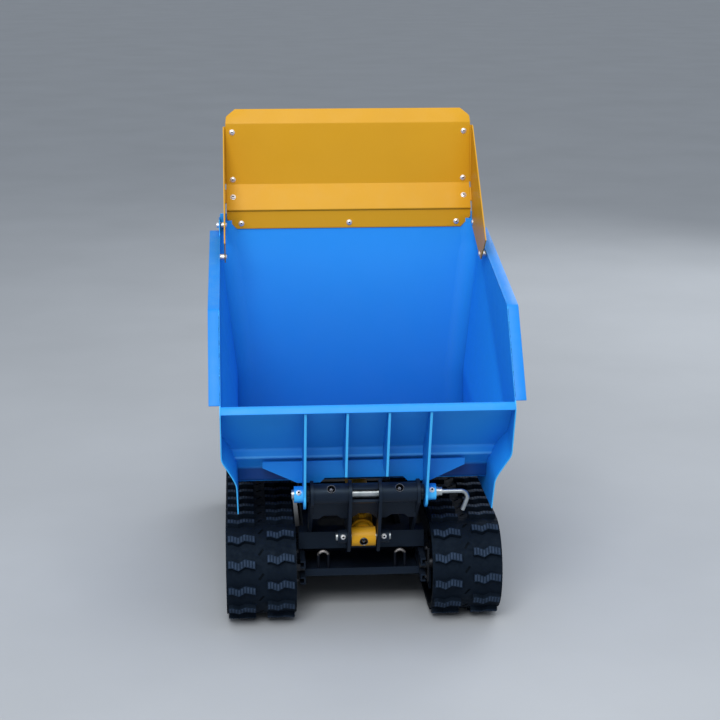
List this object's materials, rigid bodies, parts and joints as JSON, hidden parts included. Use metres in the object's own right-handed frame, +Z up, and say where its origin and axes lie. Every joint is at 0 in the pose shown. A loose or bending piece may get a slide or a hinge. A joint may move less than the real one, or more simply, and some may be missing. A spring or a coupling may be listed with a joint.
{
  "type": "tracked power carrier",
  "caption": "Walk-behind tracked carrier with rubber belts, a front-tipping open skip on a ram, a raised rear load guard, a closed rear body and two lever handles.",
  "frame": {"origin": "middle of the machine's bounding box at ground level", "axes": "+Z up, the skip's tipping end faces -Y, the handles +Y, X across the tracks"},
  "size_m": [0.776, 1.609, 1.267],
  "materials": {
    "skip_blue": "satin paint",
    "guard_amber": "satin paint",
    "frame_black": "satin paint",
    "belt_rubber": "matt",
    "zinc": "zinc plated",
    "rod_chrome": "polished",
    "motor_cast": "cast",
    "battery_case": "matt",
    "control_black": "matt",
    "stop_red": "gloss"
  },
  "bodies": {
    "chassis": {"chassis_rails": "frame_black", "cross_members": "frame_black", "belly_plate": "frame_black", "lashing_eyes": "zinc", "left_track_frame": "frame_black", "right_track_frame": "frame_black", "roller_axles": "zinc", "gear_motors": "motor_cast", "left_track_belt": "belt_rubber", "right_track_belt": "belt_rubber", "pivot_bracket": "frame_black", "bracket_grease_nipples": "zinc", "ram_base_pin": "zinc", "base_pin_bolts": "zinc", "skip_rest": "frame_black", "rest_buffers": "belt_rubber", "deck": "frame_black", "battery_pack": "battery_case", "hydraulic_unit": "motor_cast", "body_shell": "skip_blue", "body_top": "skip_blue", "console": "control_black", "handle_arms": "frame_black", "grips": "belt_rubber"},
    "skip": {"skip_wrap": "skip_blue", "skip_left_side": "skip_blue", "skip_right_side": "skip_blue", "inner_ribs": "skip_blue", "pivot_ears": "skip_blue", "front_gusset": "skip_blue", "pivot_pin": "zinc", "pivot_pin_bolts": "zinc", "guard_panel": "guard_amber", "left_guard_wing": "guard_amber", "right_guard_wing": "guard_amber", "guard_bolts": "zinc", "ram_lugs": "skip_blue"},
    "ram_barrel": {"ram_barrel": "guard_amber", "ram_grease_nipple": "zinc"},
    "ram_rod": {"ram_rod": "rod_chrome", "ram_rod_pin": "zinc"},
    "rear_door": {"rear_door": "skip_blue"},
    "door_latch": {"door_latch": "control_black"},
    "stop_button": {"stop_button": "stop_red"},
    "tip_lever": {"tip_lever": "control_black"},
    "key": {"key": "zinc"},
    "left_sprocket": {"left_sprocket": "frame_black"},
    "left_yoke": {"left_idler_yoke": "zinc"},
    "left_idler": {"left_idler": "frame_black"},
    "left_roller_1": {"left_roller_1": "frame_black"},
    "left_roller_2": {"left_roller_2": "frame_black"},
    "left_roller_3": {"left_roller_3": "frame_black"},
    "right_sprocket": {"right_sprocket": "frame_black"},
    "right_yoke": {"right_idler_yoke": "zinc"},
    "right_idler": {"right_idler": "frame_black"},
    "right_roller_1": {"right_roller_1": "frame_black"},
    "right_roller_2": {"right_roller_2": "frame_black"},
    "right_roller_3": {"right_roller_3": "frame_black"},
    "left_drive_lever": {"left_drive_lever": "control_black"},
    "right_drive_lever": {"right_drive_lever": "control_black"}
  },
  "joints": [
    {"name": "skip_tip", "type": "hinge", "parent": "chassis", "child": "skip", "pos_m": [0, -0.67407, 0.36599], "axis": [1, 0, 0], "range_deg": [0, 70]},
    {"name": "ram_swing", "type": "hinge", "parent": "chassis", "child": "ram_barrel", "pos_m": [0, -0.61407, 0.22799], "axis": [1, 0, 0], "range_deg": [0, 63.12]},
    {"name": "ram_stroke", "type": "slide", "parent": "ram_barrel", "child": "ram_rod", "axis": [0, 0.9781, 0.208], "range_m": [0, 0.1627]},
    {"name": "left_drive", "type": "hinge", "parent": "chassis", "child": "left_sprocket", "pos_m": [-0.265, 0.27393, 0.13299], "axis": [1, 0, 0], "continuous": true},
    {"name": "left_tension", "type": "slide", "parent": "chassis", "child": "left_yoke", "axis": [0, 1, 0], "range_m": [0, 0.02]},
    {"name": "left_idler_spin", "type": "hinge", "parent": "left_yoke", "child": "left_idler", "pos_m": [-0.265, -0.56607, 0.13299], "axis": [1, 0, 0], "continuous": true},
    {"name": "left_roller_1_spin", "type": "hinge", "parent": "chassis", "child": "left_roller_1", "pos_m": [-0.265, -0.34607, 0.0647], "axis": [1, 0, 0], "continuous": true},
    {"name": "left_roller_2_spin", "type": "hinge", "parent": "chassis", "child": "left_roller_2", "pos_m": [-0.265, -0.14607, 0.0647], "axis": [1, 0, 0], "continuous": true},
    {"name": "left_roller_3_spin", "type": "hinge", "parent": "chassis", "child": "left_roller_3", "pos_m": [-0.265, 0.05393, 0.0647], "axis": [1, 0, 0], "continuous": true},
    {"name": "right_drive", "type": "hinge", "parent": "chassis", "child": "right_sprocket", "pos_m": [0.265, 0.27393, 0.13299], "axis": [1, 0, 0], "continuous": true},
    {"name": "right_tension", "type": "slide", "parent": "chassis", "child": "right_yoke", "axis": [0, 1, 0], "range_m": [0, 0.02]},
    {"name": "right_idler_spin", "type": "hinge", "parent": "right_yoke", "child": "right_idler", "pos_m": [0.265, -0.56607, 0.13299], "axis": [1, 0, 0], "continuous": true},
    {"name": "right_roller_1_spin", "type": "hinge", "parent": "chassis", "child": "right_roller_1", "pos_m": [0.265, -0.34607, 0.0647], "axis": [1, 0, 0], "continuous": true},
    {"name": "right_roller_2_spin", "type": "hinge", "parent": "chassis", "child": "right_roller_2", "pos_m": [0.265, -0.14607, 0.0647], "axis": [1, 0, 0], "continuous": true},
    {"name": "right_roller_3_spin", "type": "hinge", "parent": "chassis", "child": "right_roller_3", "pos_m": [0.265, 0.05393, 0.0647], "axis": [1, 0, 0], "continuous": true},
    {"name": "door_swing", "type": "hinge", "parent": "chassis", "child": "rear_door", "pos_m": [-0.247, 0.33893, 0.54899], "axis": [0, 0, 1], "range_deg": [0, 100]},
    {"name": "latch_turn", "type": "hinge", "parent": "rear_door", "child": "door_latch", "pos_m": [0.208, 0.33093, 0.54899], "axis": [0, 1, 0], "range_deg": [0, 90]},
    {"name": "stop_press", "type": "slide", "parent": "chassis", "child": "stop_button", "axis": [0, -0.4036, -0.9149], "range_m": [0, 0.006], "stiffness_N_per_m": 800, "springref_m": -0.003},
    {"name": "tip_lever_rock", "type": "hinge", "parent": "chassis", "child": "tip_lever", "pos_m": [-0.045, 0.25328, 0.87118], "axis": [1, 0, 0], "range_deg": [-18, 18], "stiffness_Nm_per_rad": 8},
    {"name": "key_turn", "type": "hinge", "parent": "chassis", "child": "key", "pos_m": [0.13, 0.25893, 0.88399], "axis": [0, 0.4036, 0.9149], "range_deg": [0, 90]},
    {"name": "left_lever_squeeze", "type": "hinge", "parent": "chassis", "child": "left_drive_lever", "pos_m": [-0.235, 0.64111, 1.02461], "axis": [1, 0, 0], "range_deg": [0, 14], "stiffness_Nm_per_rad": 2, "springref_deg": -8.59},
    {"name": "right_lever_squeeze", "type": "hinge", "parent": "chassis", "child": "right_drive_lever", "pos_m": [0.235, 0.64111, 1.02461], "axis": [1, 0, 0], "range_deg": [0, 14], "stiffness_Nm_per_rad": 2, "springref_deg": -8.59}
  ],
  "couplings": [
    {"joint": "ram_swing", "follows": "skip_tip", "ratio": 0.90024},
    {"joint": "ram_stroke", "follows": "skip_tip", "m_per_rad": 0.13301},
    {"joint": "left_idler_spin", "follows": "left_drive", "ratio": 1},
    {"joint": "left_roller_1_spin", "follows": "left_drive", "ratio": 2.8648},
    {"joint": "left_roller_2_spin", "follows": "left_drive", "ratio": 2.8648},
    {"joint": "left_roller_3_spin", "follows": "left_drive", "ratio": 2.8648},
    {"joint": "right_idler_spin", "follows": "right_drive", "ratio": 1},
    {"joint": "right_roller_1_spin", "follows": "right_drive", "ratio": 2.8648},
    {"joint": "right_roller_2_spin", "follows": "right_drive", "ratio": 2.8648},
    {"joint": "right_roller_3_spin", "follows": "right_drive", "ratio": 2.8648}
  ]
}
